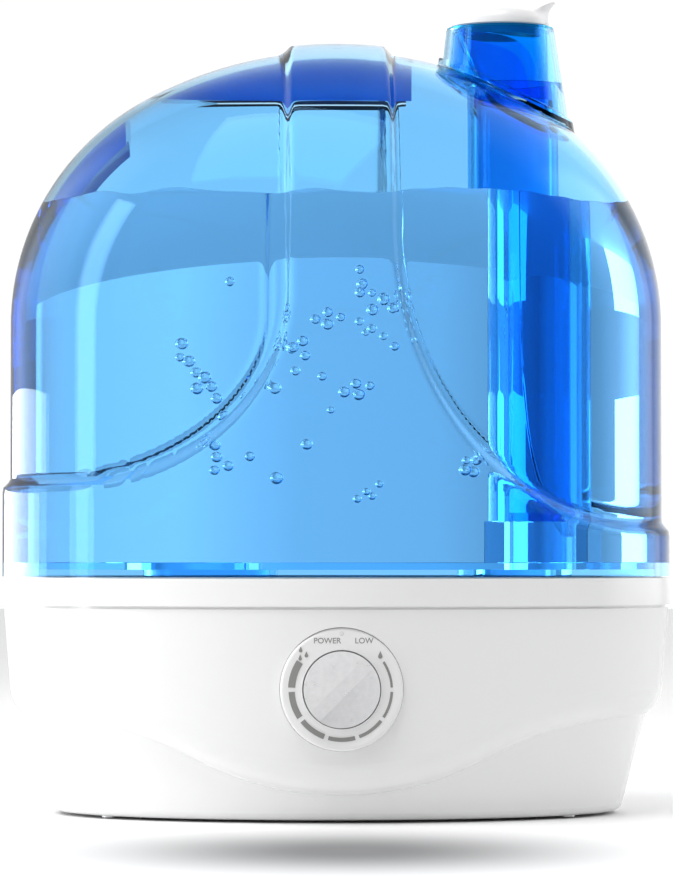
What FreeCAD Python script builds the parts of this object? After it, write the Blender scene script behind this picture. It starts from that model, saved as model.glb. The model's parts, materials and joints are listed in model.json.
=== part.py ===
import FreeCAD, Part
import math
import os
import Sketcher
from FreeCAD import Matrix, Placement, Rotation, Vector

# Cool mist humidifier: a clear water tank standing on a base with the mist maker.
# Millimetres. +Z up, front towards -Y, origin on the floor under the middle of the base.

doc = FreeCAD.newDocument("humidifier")
sheet = doc.addObject("Spreadsheet::Sheet", "Sizes")

SIZES = {
    # base shell; every oval is narrower front to back than side to side by twice the narrowing
    "baseWidth": 240.0, "narrowing": 35.0, "baseTop": 84.0, "lipHeight": 9.5, "lipGroove": 1.0,
    "footInset": 18.5, "wasteInset": 3.0, "wasteHeight": 60.0, "skirtFootInset": 6.8,
    "skirtTopInset": 1.0, "skirtFoot": 4.0, "waveLow": 14.6, "waveHigh": 38.8, "waveEnd": 20.0,
    "waveDrop": 5.0, "waveRound": 12.0, "footRound": 3.5, "baseWall": 2.6, "footGap": 1.0,
    "ledgeHeight": 79.0, "rimInset": 3.2, "rimSeat": 2.0, "bossRadius": 5.0, "bossInset": 6.0,
    "bossAngle": 33.1, "bossTop": 40.0, "coverThick": 2.5, "coverGap": 0.2, "padRadius": 7.0,
    "padThick": 1.8, "padInset": 15.0, "padAngle": 44.2, "padFit": 0.1, "screwRadius": 1.5,
    "screwHeadRadius": 2.9, "screwHead": 1.8, "screwProud": 0.6, "screwLength": 14.0, "screwRoom": 5.0,
    "screwSlot": 0.8, "slotCount": 7.0, "slotPitch": 4.6, "slotHalf": 1.2, "slotReach": 16.0,
    # basin
    "rimHeight": 5.5, "rimLand": 5.5, "deckThick": 2.0, "troughHalf": 30.0, "troughLeft": -47.0,
    "troughRight": 60.0, "troughFloor": 52.5, "troughWall": 2.5, "postRadius": 3.0, "stackRadius": 8.0,
    "stackWall": 1.8, "stackTop": 76.0,
    # tank
    "panelProud": 2.8, "tankWall": 2.5, "domeTop": 272.7, "shoulderRadius": 92.0, "crownRadius": 143.0,
    "seam": 0.5, "stripHalf": 18.0, "bellLeft": 90.0, "bellRight": 105.0, "bellLeftFoot": 117.0,
    "bellRightFoot": 102.0, "bellLeftTop": 182.0, "bellRightTop": 203.0, "pocketLeft": -72.0,
    "pocketRight": 26.5, "pocketFront": -18.0, "pocketDepth": 19.7, "gripBack": 26.0, "gripDepth": 7.7,
    "linerWall": 2.2, "strapThick": 6.0, "strapReach": 55.7, "strapBack": 8.0, "fitGap": 0.3,
    "tankFloor": 87.0, "tankFloorThick": 2.5, "weldGap": 0.1, "boxHalf": 17.0, "boxTop": 104.0,
    "tubeCollar": 20.5, "tubeCollarDrop": 6.0,
    # mist path
    "tubeX": 63.5, "tubeRadius": 16.4, "tubeBore": 13.2, "tubeDrop": 11.7, "spigotHeight": 3.0,
    "spigotWall": 1.7, "nozzleX": 59.0, "nozzleRadius": 19.5, "nozzleRise": 7.8, "nozzleFootDrop": 31.7,
    "nozzleFootX": 59.8, "nozzleFootRadius": 24.8, "nozzleWall": 2.0, "nozzleFlange": 1.6,
    "flangeThick": 2.4, "funnelRadius": 16.9, "funnelWall": 1.6, "funnelFlange": 0.8, "throatDip": 6.0,
    "capRadius": 17.6, "capLift": 1.1, "capHeight": 6.4, "capRound": 4.5, "capWall": 1.6,
    "capRoof": 2.2, "capPlug": 13.9, "capPlugDepth": 3.2, "beakRise": 2.5, "beakReach": 2.4,
    "beakHalf": 12.0, "mistSlotNear": 3.2, "mistSlotFar": 8.2, "mistSlotHalf": 8.5,
    # filling cap and valve
    "neckX": -45.0, "neckRadius": 24.0, "neckBore": 21.5, "neckFoot": 74.0, "fillCapWall": 4.0,
    "fillCapFoot": 69.0, "fillCapTop": 84.0, "fillCapFloor": 2.5, "threadProud": 0.9, "threadHeight": 1.4,
    "threadPitch": 4.0, "gripRib": 0.9, "gripCount": 36.0, "drainRadius": 1.4, "drainOrbit": 5.8,
    "drainCount": 6.0, "guideWall": 1.8, "guideDrop": 0.5, "guideRise": 0.4, "stemRadius": 2.0,
    "stemFoot": 61.0, "stemTop": 80.0, "stemFit": 0.06, "valveDiscRadius": 8.0, "valveDiscThick": 2.0,
    "postGap": 0.3, "springRadius": 4.2, "springWire": 0.7, "springTurns": 4.0, "stemFlange": 1.2,
    # float
    "floatX": 2.0, "floatRadius": 9.0, "guideRadius": 4.0, "guideStop": 1.5, "floatHeight": 11.0,
    "guideTop": 75.0, "reedRadius": 1.4, "reedLength": 14.0,
    # mist maker
    "discRadius": 10.0, "discThick": 1.2, "sealRadius": 12.5, "sealBore": 8.0, "sealHeight": 3.5,
    "sealLip": 1.1, "bracketLength": 42.0, "bracketWidth": 30.0, "bracketThick": 1.5,
    "bracketScrewX": 17.0,
    # fan
    "fanX": 26.0, "fanSide": 40.0, "fanHeight": 10.0, "fanBore": 18.6, "fanRound": 3.0,
    "rotorRadius": 18.0, "hubRadius": 8.5, "fanPin": 1.0, "pinFit": 0.05, "pinDrop": 1.6,
    "spokeHalf": 1.2, "spokeThick": 1.6, "spokeCount": 3.0, "rotorFoot": 2.4, "rotorDrop": 0.6,
    "bladeCount": 7.0, "bladeThick": 1.2, "bladeHalf": 3.6, "bladePitch": 52.0, "ductWall": 1.6,
    # boards
    "boardThick": 1.6, "powerBoardX": -73.0, "powerBoardLength": 56.0, "powerBoardWidth": 60.0,
    "powerBoardFoot": 10.0, "driverX": 52.0, "driverLength": 40.0, "driverWidth": 50.0,
    "driverFoot": 20.0, "standoffRadius": 3.0, "standoffInset": 5.0, "sinkLength": 22.0,
    "sinkWidth": 28.0, "sinkBase": 2.0, "finPitch": 5.0, "finThick": 1.4, "finHeight": 10.0,
    # dial, measured back from the front of the base
    "dialHeight": 46.4, "ringRadius": 21.0, "ringFit": 0.15, "ringSeat": 7.5, "ringFace": 2.0,
    "ringRound": 1.2, "knobRadius": 13.0, "knobGap": 0.4, "knobSeat": 6.0, "knobEdge": 1.0,
    "knobProud": 3.4, "crestWidth": 4.4, "knobAngle": 45.0, "shaftRadius": 3.0, "shaftFit": 0.05,
    "bushRadius": 3.8, "bushRoom": 1.2, "markThick": 0.2, "lampRadius": 0.6, "lampOrbit": 19.0,
    "controlBoardSet": 19.0, "controlBoardLength": 56.0, "controlBoardWidth": 32.0,
    "controlHoleX": 23.0, "controlBoss": 3.0, "boardScrewRadius": 1.0, "boardScrewDepth": 6.0,
    "controlCan": 8.5, "controlCanDepth": 7.0, "controlBush": 4.0,
    # cord inlet
    "inletHeight": 17.0, "inletBore": 3.6, "inletRadius": 6.0, "inletLength": 8.5,
    "inletSet": 23.0, "inletBoss": 3.0, "inletFlange": 1.6,
}

# Places that follow from the sizes above.
half = SIZES["baseWidth"] / 2
front = SIZES["narrowing"] - half
bossTurn = math.radians(SIZES["bossAngle"])
padTurn = math.radians(SIZES["padAngle"])
footHalf = half - SIZES["footInset"]
footDeep = footHalf - SIZES["narrowing"]
nozzleTop = SIZES["domeTop"] + SIZES["nozzleRise"]
PLACES = {
    "footHalf": footHalf, "rimHalf": half - SIZES["rimInset"],
    "bossX": (footHalf - SIZES["bossInset"]) * math.cos(bossTurn),
    "bossY": (footDeep - SIZES["bossInset"]) * math.sin(bossTurn),
    "padX": (footHalf - SIZES["padInset"]) * math.cos(padTurn),
    "padY": (footDeep - SIZES["padInset"]) * math.sin(padTurn),
    "pocketFloor": SIZES["domeTop"] - SIZES["pocketDepth"],
    "gripUnder": SIZES["domeTop"] - SIZES["gripDepth"],
    "strapFoot": SIZES["domeTop"] - SIZES["strapReach"],
    "tubeTop": SIZES["domeTop"] - SIZES["tubeDrop"],
    "nozzleTop": nozzleTop, "nozzleFoot": SIZES["domeTop"] - SIZES["nozzleFootDrop"],
    "capBottom": nozzleTop + SIZES["capLift"],
    "capTop": nozzleTop + SIZES["capLift"] + SIZES["capHeight"],
    "fillCapRadius": SIZES["neckRadius"] + SIZES["fillCapWall"],
    "ringBack": front + SIZES["ringSeat"], "ringFront": front + SIZES["ringFace"],
    "knobBack": front + SIZES["knobSeat"], "knobShoulder": front + SIZES["knobEdge"],
    "knobCrest": front - SIZES["knobProud"],
    "controlBoardFront": front + SIZES["controlBoardSet"], "inletFace": -front - SIZES["inletSet"],
}
SIZES.update(PLACES)

for row, (alias, value) in enumerate(SIZES.items(), start=1):
    sheet.set("A%d" % row, alias)
    sheet.set("B%d" % row, str(value))
    sheet.setAlias("B%d" % row, alias)
doc.recompute()

pieces = []


def size(alias):
    """Value of one named size from the sheet."""
    return float(getattr(sheet, alias))


def bound(expression):
    """Spell an expression with the sheet's name before each alias."""
    words = []
    word = ""
    for letter in expression + " ":
        if letter.isalnum():
            word += letter
            continue
        words.append("Sizes." + word if word in SIZES else word)
        words.append(letter)
        word = ""
    return "".join(words).strip()


def bind(thing, **expressions):
    for name, expression in expressions.items():
        thing.setExpression(name, bound(expression))
    return thing


def place(thing, x="0", y="0", z="0"):
    for axis, expression in (("x", x), ("y", y), ("z", z)):
        thing.setExpression("Placement.Base." + axis, bound(expression))
    return thing


def box(label, x, y, z, length, width, height):
    """Block whose lowest corner is at x, y, z."""
    block = doc.addObject("Part::Box", label)
    bind(block, Length=length, Width=width, Height=height)
    return place(block, x, y, z)


def rod(label, x, y, z, radius, height):
    """Upright cylinder standing on x, y, z."""
    cylinder = doc.addObject("Part::Cylinder", label)
    bind(cylinder, Radius=radius, Height=height)
    return place(cylinder, x, y, z)


def frontRod(label, x, y, z, radius, length):
    """Cylinder that starts at x, y, z and runs towards the back."""
    cylinder = doc.addObject("Part::Cylinder", label)
    bind(cylinder, Radius=radius, Height=length)
    cylinder.Placement = Placement(Vector(0, 0, 0), Rotation(Vector(1, 0, 0), -90))
    return place(cylinder, x, y, z)


def cone(label, x, y, z, lower, upper, height):
    shape = doc.addObject("Part::Cone", label)
    bind(shape, Radius1=lower, Radius2=upper, Height=height)
    return place(shape, x, y, z)


def cut(label, base, *tools):
    """Base less every tool."""
    tool = tools[0]
    if len(tools) > 1:
        tool = doc.addObject("Part::MultiFuse", label + "_tools")
        tool.Shapes = list(tools)
    result = doc.addObject("Part::Cut", label)
    result.Base = base
    result.Tool = tool
    return result


def fuse(label, *shapes):
    result = doc.addObject("Part::MultiFuse", label)
    result.Shapes = list(shapes)
    return result


def group(label, *shapes):
    """Separate solids kept side by side in one node."""
    result = doc.addObject("Part::Compound", label)
    result.Links = list(shapes)
    return result


def keep(thing, label):
    """Mark an object as a finished piece and give it its name."""
    thing.Label = label
    pieces.append(thing)
    return thing


def keepShape(label, shape):
    """A freeform piece whose shape is worked out below."""
    feature = doc.addObject("Part::Feature", label)
    feature.Shape = shape
    feature.Placement = shape.Placement
    return keep(feature, label)


def revolved(label, points, x="0", y="0", z="0"):
    """Body turned about its own upright axis from a closed profile of (radius, height)."""
    body = doc.addObject("PartDesign::Body", label + "_body")
    plane = [item for item in body.Origin.OriginFeatures if item.Role == "XZ_Plane"][0]
    sketch = body.newObject("Sketcher::SketchObject", label + "_profile")
    sketch.AttachmentSupport = [(plane, "")]
    sketch.MapMode = "FlatFace"
    corners = [Vector(index + 1.0, index * 0.5, 0) for index in range(len(points))]
    for index, corner in enumerate(corners):
        sketch.addGeometry(Part.LineSegment(corner, corners[(index + 1) % len(corners)]), False)
    for index in range(len(points)):
        following = (index + 1) % len(points)
        sketch.addConstraint(Sketcher.Constraint("Coincident", index, 2, following, 1))
    for index, (radius, height) in enumerate(points):
        if radius == "0":
            sketch.addConstraint(Sketcher.Constraint("PointOnObject", index, 1, -2))
        else:
            number = sketch.addConstraint(Sketcher.Constraint("DistanceX", -1, 1, index, 1, index + 1.0))
            sketch.setExpression("Constraints[%d]" % number, bound(radius))
        if height == "0":
            sketch.addConstraint(Sketcher.Constraint("PointOnObject", index, 1, -1))
        else:
            number = sketch.addConstraint(Sketcher.Constraint("DistanceY", -1, 1, index, 1, index + 0.5))
            sketch.setExpression("Constraints[%d]" % number, bound(height))
    doc.recompute()
    turn = body.newObject("PartDesign::Revolution", label + "_turn")
    turn.Profile = sketch
    turn.ReferenceAxis = (sketch, ["V_Axis"])
    turn.Angle = 360
    body.Tip = turn
    return place(body, x, y, z)


# Oval helpers

def ovalCurve(half, height):
    """Oval wire; half is its half width along X."""
    narrowing = size("narrowing")
    curve = Part.Ellipse(Vector(half, 0, height), Vector(0, half - narrowing, height), Vector(0, 0, height))
    return Part.Wire([curve.toShape()])


def ovalLoft(low, lowHeight, high, highHeight):
    return Part.makeLoft([ovalCurve(low, lowHeight), ovalCurve(high, highHeight)], True, True)


def ovalBlock(half, low, high):
    return Part.Face(ovalCurve(half, low)).extrude(Vector(0, 0, high - low))


def block(x0, x1, y0, y1, z0, z1):
    return Part.makeBox(x1 - x0, y1 - y0, z1 - z0, Vector(x0, y0, z0))


def upright(radius, x, y, low, high):
    return Part.makeCylinder(radius, high - low, Vector(x, y, low))


def inward(radius, x, y, z, length):
    """Cylinder along +Y."""
    return Part.makeCylinder(radius, length, Vector(x, y, z), Vector(0, 1, 0))


def ring(outer, inner, x, y, low, high):
    return upright(outer, x, y, low, high).cut(upright(inner, x, y, low - 1, high + 1))


def orbit(radius, count):
    """Places evenly spaced round a circle."""
    turns = [2 * math.pi * number / count for number in range(int(count))]
    return [(radius * math.cos(turn), radius * math.sin(turn)) for turn in turns]


FAR = 200.0


# Base

def lowerHalf(height, inset=0.0):
    """Half width of the recessed lower wall at a height."""
    slope = (size("footInset") - size("wasteInset")) / (size("wasteHeight") - size("footGap"))
    return size("footHalf") + slope * (height - size("footGap")) - inset


def waveBlock():
    """Everything below the wavy step that runs round the base."""
    half = size("baseWidth") / 2 - size("waveEnd")
    low = size("waveLow") - size("waveDrop")
    high = size("waveHigh") - size("waveDrop")
    rise = (high - low) / 2
    quarter = half / 2
    bend = (quarter ** 2 + rise ** 2) / (2 * rise)
    swing = math.asin(quarter / bend) / 2
    edges = [Part.Arc(Vector(-quarter, 0, low + rise), Vector(0, 0, low), Vector(quarter, 0, low + rise))]
    for side in (-1, 1):
        middle = Vector(side * (half - math.sin(swing) * bend), 0, high - bend + math.cos(swing) * bend)
        edges.append(Part.Arc(Vector(side * quarter, 0, low + rise), middle, Vector(side * half, 0, high)))
        edges.append(Part.LineSegment(Vector(side * half, 0, high), Vector(side * FAR, 0, high)))
        edges.append(Part.LineSegment(Vector(side * FAR, 0, high), Vector(side * FAR, 0, -FAR)))
    edges.append(Part.LineSegment(Vector(-FAR, 0, -FAR), Vector(FAR, 0, -FAR)))
    wire = Part.Wire(Part.__sortEdges__([edge.toShape() for edge in edges]))
    face = Part.Face(wire)
    face.translate(Vector(0, -FAR, 0))
    return face.extrude(Vector(0, 2 * FAR, 0))


def bulge():
    """Upper wall of the base with its rounded wavy lower edge."""
    lipFoot = size("baseTop") - size("lipHeight")
    half = size("baseWidth") / 2
    upper = ovalLoft(half - size("skirtFootInset"), size("skirtFoot"), half - size("skirtTopInset"), lipFoot)
    wall = upper.cut(waveBlock())
    top = size("waveHigh") + size("waveRound")
    edges = [edge for edge in wall.Edges if edge.BoundBox.ZMax < top and edge.Length > size("baseWall")]
    return wall.makeFillet(size("waveRound"), edges)


def housingOutside():
    lipFoot = size("baseTop") - size("lipHeight")
    half = size("baseWidth") / 2
    foot = size("footGap")
    lower = ovalLoft(lowerHalf(foot), foot, lowerHalf(size("wasteHeight")), size("wasteHeight"))
    rim = [edge for edge in lower.Edges if edge.BoundBox.ZMax < foot + 0.1]
    lower = lower.makeFillet(size("footRound"), rim)
    groove = size("lipGroove")
    neck = ovalBlock(half - size("skirtTopInset") - groove, lipFoot - groove, lipFoot + groove)
    band = ovalBlock(half, lipFoot, size("baseTop"))
    gap = ovalBlock(FAR, lipFoot - groove, lipFoot)
    return bulge().fuse([lower]).cut(gap).fuse([neck, band])


def baseHousing():
    """White outer casing: bulging wall, lip, dial seat, bosses and cord inlet."""
    wall = size("baseWall")
    foot = size("footGap")
    waste = size("wasteHeight")
    ledge = size("ledgeHeight")
    outside = housingOutside()
    cavity = ovalLoft(lowerHalf(foot - 1, wall), foot - 1, lowerHalf(waste, wall), waste)
    neckHalf = size("rimHalf") - size("rimSeat")
    cavity = cavity.fuse([ovalLoft(lowerHalf(waste, wall), waste, neckHalf, ledge)])
    cavity = cavity.fuse([ovalBlock(size("rimHalf") + size("fitGap"), ledge, FAR)])
    boardFront = size("controlBoardFront")
    dial = size("dialHeight")
    inner = [upright(size("bossRadius"), x, y, foot + size("coverThick"), size("bossTop"))
             for x, y in fourPlaces("boss")]
    for side in (-1, 1):
        inner.append(inward(size("controlBoss"), side * size("controlHoleX"), -FAR, dial, FAR + boardFront))
    inletBoss = size("inletRadius") + size("inletBoss")
    inner.append(inward(inletBoss, 0, size("inletFace"), size("inletHeight"), FAR))
    bosses = inner[0].fuse(inner[1:]).common(outside)
    shell = outside.cut(cavity).fuse([bosses])
    screwHole = size("screwRadius") + size("shaftFit")
    deep = size("screwLength") + size("screwRoom")
    holes = [upright(screwHole, x, y, 0, deep) for x, y in fourPlaces("boss")]
    boardHole = size("boardScrewRadius") + size("shaftFit")
    depth = size("boardScrewDepth") + 1
    for side in (-1, 1):
        holes.append(inward(boardHole, side * size("controlHoleX"), boardFront - depth, dial, depth + 1))
    fit = size("ringFit")
    holes.append(inward(size("ringRadius") + fit, 0, -FAR, dial, FAR + size("ringBack")))
    holes.append(inward(size("bushRadius") + size("bushRoom"), 0, -FAR, dial, FAR + boardFront))
    holes.append(inward(size("lampRadius") + fit, 0, -FAR, dial + size("lampOrbit"), FAR + boardFront))
    holes.append(inward(size("inletRadius") + size("padFit"), 0, 0, size("inletHeight"), FAR))
    return shell.cut(holes)


def fourPlaces(name):
    """Centres of the four screws (boss) or feet (pad) in the base."""
    x = size(name + "X")
    y = size(name + "Y")
    return [(sideX * x, sideY * y) for sideX in (-1, 1) for sideY in (-1, 1)]


def bottomCover():
    """Plate that closes the base: intake slots under the fan, board pillars, pad recesses."""
    foot = size("footGap")
    top = foot + size("coverThick")
    plate = ovalBlock(lowerHalf(foot, size("baseWall")) - size("coverGap"), foot, top)
    inset = size("standoffInset")
    pillars = []
    for x0, length, width, high in (boardArea("power"), boardArea("driver")):
        for x in (x0 + inset, x0 + length - inset):
            for y in (inset - width / 2, width / 2 - inset):
                pillars.append(upright(size("standoffRadius"), x, y, top - 1, high))
    plate = plate.fuse(pillars)
    holes = []
    headTop = foot + size("screwHead") - size("screwProud")
    for x, y in fourPlaces("boss"):
        holes.append(upright(size("screwRadius") + size("coverGap"), x, y, 0, top + 1))
        holes.append(upright(size("screwHeadRadius") + size("fitGap"), x, y, 0, headTop))
    for x, y in fourPlaces("pad"):
        holes.append(upright(size("padRadius") + size("padFit"), x, y, 0, size("padThick")))
    slots = int(size("slotCount"))
    slotHalf = size("slotHalf")
    for number in range(slots):
        y = (number - (slots - 1) / 2) * size("slotPitch")
        reach = math.sqrt(size("slotReach") ** 2 - y ** 2)
        fan = size("fanX")
        holes.append(block(fan - reach, fan + reach, y - slotHalf, y + slotHalf, 0, top + 1))
    return plate.cut(holes)


def boardArea(which):
    """Left edge, length, width and underside height of a flat board in the base."""
    name = {"power": "powerBoard", "driver": "driver"}[which]
    return [size(name + part) for part in ("X", "Length", "Width", "Foot")]


def rubberFeet():
    parts = [rod("pad%d" % n, str(x), str(y), "0", "padRadius", "padThick")
             for n, (x, y) in enumerate([("padX", "padY"), ("0 - padX", "padY"),
                                         ("padX", "0 - padY"), ("0 - padX", "0 - padY")])]
    return keep(group("rubber_feet_group", *parts), "rubber_feet")


def coverScrews():
    screws = []
    spots = [("bossX", "bossY"), ("0 - bossX", "bossY"), ("bossX", "0 - bossY"), ("0 - bossX", "0 - bossY")]
    for number, (x, y) in enumerate(spots):
        head = rod("screwHead%d" % number, x, y, "footGap - screwProud", "screwHeadRadius", "screwHead")
        shank = rod("screwShank%d" % number, x, y, "footGap", "screwRadius", "screwLength")
        slotBar = box("screwSlotBar%d" % number, x + " - screwHeadRadius", y + " - screwSlot / 2",
                      "footGap - screwProud - 1", "2 * screwHeadRadius", "screwSlot", "screwProud + 1")
        screws.append(cut("screw%d" % number, fuse("screwBody%d" % number, head, shank), slotBar))
    return keep(group("cover_screws_group", *screws), "cover_screws")


def stadium(half, low, high):
    """Long round-ended block that runs from the filling cap to the mist maker."""
    left = size("troughLeft")
    right = size("troughRight")
    ends = [upright(half, x, 0, low, high) for x in (left, right)]
    return block(left, right, -half, half, low, high).fuse(ends)


def waterBasin():
    """Tray in the top of the base with its trough, valve post, float guide and air stack."""
    ledge = size("ledgeHeight")
    rimHalf = size("rimHalf")
    floor = size("troughFloor")
    wall = size("troughWall")
    half = size("troughHalf")
    deck = ledge + size("deckThick")
    tray = ovalBlock(rimHalf, ledge, ledge + size("rimHeight"))
    tray = tray.cut(ovalBlock(rimHalf - size("rimLand"), deck, FAR))
    tray = tray.fuse([stadium(half + wall, floor - wall, deck)])
    tray = tray.cut(stadium(half, floor, FAR))
    fan = size("fanX")
    gap = size("postGap")
    extras = [upright(size("postRadius"), size("neckX"), 0, floor - 1, size("stemFoot") - gap),
              upright(size("guideRadius"), size("floatX"), 0, floor - 1, size("guideTop")),
              upright(size("guideRadius") + size("guideStop"), size("floatX"), 0, size("guideTop") - 1,
                      size("guideTop") + 1),
              upright(size("stackRadius"), fan, 0, floor - wall, size("stackTop"))]
    tray = tray.fuse(extras)
    tube = size("tubeX")
    fit = size("shaftFit")
    holes = [upright(size("stackRadius") - size("stackWall"), fan, 0, 0, FAR),
             upright(size("sealRadius") + fit, tube, 0, 0, floor + 1)]
    for side in (-1, 1):
        x = tube + side * size("bracketScrewX")
        holes.append(upright(size("screwRadius") + fit, x, 0, 0, floor - size("troughWall") / 5))
    return tray.cut(holes)


# Tank

def domeSolid(inset=0.0, low=0.0):
    """Domed solid: straight wall, shoulder arc, crown arc. inset moves its skin inwards."""
    half = size("rimHalf") - inset
    top = size("domeTop") - inset
    shoulder = size("shoulderRadius") - inset
    crown = size("crownRadius") - inset
    crownZ = top - crown
    rise = math.sqrt((crown - shoulder) ** 2 - (half - shoulder) ** 2)
    shoulderZ = crownZ + rise
    lean = math.atan2(rise, half - shoulder)
    meet = Vector(math.cos(lean) * crown, 0, crownZ + math.sin(lean) * crown)
    onShoulder = Vector(half - shoulder + math.cos(lean / 2) * shoulder, 0,
                        shoulderZ + math.sin(lean / 2) * shoulder)
    between = (lean + math.pi / 2) / 2
    onCrown = Vector(math.cos(between) * crown, 0, crownZ + math.sin(between) * crown)
    side = Vector(half, 0, shoulderZ)
    foot = Vector(half, 0, low)
    axisFoot = Vector(0, 0, low)
    peak = Vector(0, 0, top)
    edges = [Part.LineSegment(axisFoot, foot), Part.LineSegment(foot, side), Part.Arc(side, onShoulder, meet),
             Part.Arc(meet, onCrown, peak), Part.LineSegment(peak, axisFoot)]
    face = Part.Face(Part.Wire([edge.toShape() for edge in edges]))
    narrowing = size("narrowing")
    squash = Matrix()
    squash.scale(1, (half - narrowing) / half, 1)
    return face.revolve(Vector(0, 0, 0), Vector(0, 0, 1), 360).transformGeometry(squash)


def ovalHole(x, z, halfX, halfZ):
    """Oval prism that runs from front to back."""
    centre = Vector(x, -FAR, z)
    if halfX >= halfZ:
        curve = Part.Ellipse(centre + Vector(halfX, 0, 0), centre + Vector(0, 0, halfZ), centre)
    else:
        curve = Part.Ellipse(centre + Vector(0, 0, halfZ), centre + Vector(halfX, 0, 0), centre)
    return Part.Face(Part.Wire([curve.toShape()])).extrude(Vector(0, 2 * FAR, 0))


def bellSide(side, reach, foot, top):
    """What lies beside the bell-shaped panel on one side."""
    strip = size("stripHalf")
    beyond = sorted((side * reach, side * FAR))
    above = sorted((side * strip, side * FAR))
    parts = [block(beyond[0], beyond[1], -FAR, FAR, foot, FAR * 2),
             block(above[0], above[1], -FAR, FAR, top, FAR * 2),
             ovalHole(side * reach, top, reach - strip, top - foot)]
    return parts[0].fuse(parts[1:])


def bellPanel(low):
    """Raised bell-shaped panel that runs up the front, over the top and down the back."""
    skin = domeSolid(-size("panelProud"), low)
    left = bellSide(-1, size("bellLeft"), size("bellLeftFoot"), size("bellLeftTop"))
    right = bellSide(1, size("bellRight"), size("bellRightFoot"), size("bellRightTop"))
    return skin.cut([left, right])


def pocketBlock(grow=0.0):
    """Hand pocket at the top of the back."""
    return block(size("pocketLeft") - grow, size("pocketRight") + grow, size("pocketFront") - grow, FAR,
                 size("pocketFloor") - grow, FAR * 2)


def tankShell():
    """Clear tank wall with the bell panel, hand pocket and hole for the mist nozzle."""
    low = size("baseTop") + size("seam")
    wall = size("tankWall")
    outside = domeSolid(0, low).fuse([bellPanel(low)])
    inside = domeSolid(wall, low - 5)
    hollow = inside.cut(pocketBlock(wall))
    shell = outside.cut([hollow])
    reach = block(size("pocketLeft"), size("pocketRight"), size("pocketFront"), size("gripBack"),
                  size("pocketFloor"), FAR * 2)
    cover = outside.cut([inside]).common(reach)
    shell = shell.cut([pocketBlock()]).fuse([cover])
    mouth = upright(size("tubeRadius") + size("fitGap"), size("tubeX"), 0, size("boxTop"), FAR * 2)
    return shell.cut([mouth])


def carryHandle():
    """Deeper blue lining of the hand pocket: floor, walls and grip, and a strap down the left side."""
    gap = size("fitGap")
    wall = size("tankWall")
    left = size("pocketLeft")
    right = size("pocketRight")
    front = size("pocketFront")
    floor = size("pocketFloor")
    within = domeSolid(wall + gap, size("strapFoot"))
    lining = block(left + gap, right - gap, front + gap, FAR, floor, FAR * 2).common(within)
    over = block(left, right, size("gripBack"), FAR, size("gripUnder"), FAR * 2)
    inside = size("linerWall") + gap
    fingers = block(left, right - inside, front + inside, FAR, floor + size("linerWall"), size("gripUnder"))
    lining = lining.cut([fingers, over])
    hollow = domeSolid(wall + gap + size("strapThick"), 0)
    back = size("gripBack") - size("strapBack")
    reach = block(-FAR, left - wall - gap, front, back, size("strapFoot"), FAR * 2)
    strap = reach.common(within).cut([hollow])
    return Part.makeCompound(lining.Solids + strap.Solids)


def tankFloor():
    """Plate welded across the foot of the tank, with the filling neck and the tube seat."""
    low = size("tankFloor")
    top = low + size("tankFloorThick")
    weld = size("weldGap")
    plate = ovalBlock(size("rimHalf") - size("tankWall") - weld, low, top)
    neckX = size("neckX")
    tubeX = size("tubeX")
    half = size("boxHalf")
    boxTop = size("boxTop")
    neckFoot = size("neckFoot")
    radius = size("neckRadius")
    seat = block(tubeX - half, tubeX + half, -half, half, low, boxTop)
    spigot = upright(size("tubeBore") - weld, tubeX, 0, boxTop - 1, boxTop + size("spigotHeight"))
    collar = upright(size("tubeCollar"), tubeX, 0, low - size("tubeCollarDrop"), low + 1)
    neck = upright(radius, neckX, 0, neckFoot, top)
    pitch = size("threadPitch")
    thread = [upright(radius + size("threadProud"), neckX, 0, z, z + size("threadHeight"))
              for z in (neckFoot + pitch / 2, neckFoot + pitch * 3 / 2)]
    solid = plate.fuse([seat, spigot, collar, neck] + thread)
    bore = upright(size("tubeBore") - weld - size("spigotWall"), tubeX, 0, neckFoot, FAR)
    return solid.cut([upright(size("neckBore"), neckX, 0, 0, top + 1), bore])


# Mist path

def mistTube():
    height = "tubeTop - boxTop"
    tube = revolved("mist_tube", [("tubeBore", "0"), ("tubeRadius", "0"), ("tubeRadius", height),
                                  ("tubeBore", height)], x="tubeX", z="boxTop")
    return keep(tube, "mist_tube")


def leaningCone(inset, flare=0.0):
    """Cone from the wide foot on the dome to the nozzle's mouth."""
    foot = Part.Circle(Vector(size("nozzleFootX"), 0, size("nozzleFoot")), Vector(0, 0, 1),
                       size("nozzleFootRadius") - inset + flare)
    mouth = Part.Circle(Vector(size("nozzleX"), 0, size("nozzleTop")), Vector(0, 0, 1),
                        size("nozzleRadius") - inset + flare)
    return Part.makeLoft([Part.Wire([foot.toShape()]), Part.Wire([mouth.toShape()])], True, True)


def nozzleCollar():
    """Clear collar that stands on the dome round the end of the mist tube."""
    gap = size("fitGap")
    dome = domeSolid(-gap, size("boxTop"))
    flangeTop = domeSolid(-gap - size("flangeThick"), size("boxTop"))
    cup = leaningCone(0)
    flange = leaningCone(0, size("nozzleFlange")).common(flangeTop)
    solid = cup.fuse([flange]).cut([dome])
    hollow = leaningCone(size("nozzleWall"))
    cap = block(-FAR, FAR, -FAR, FAR, size("nozzleTop") - 1, FAR * 2)
    mouth = upright(size("funnelRadius") + size("weldGap"), size("nozzleX"), 0, size("boxTop"), FAR * 2)
    tubeEnd = upright(size("tubeRadius") + gap, size("tubeX"), 0, size("boxTop"), size("tubeTop") + gap)
    return solid.cut([hollow.cut([cap])]).cut([mouth, tubeEnd])


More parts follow.
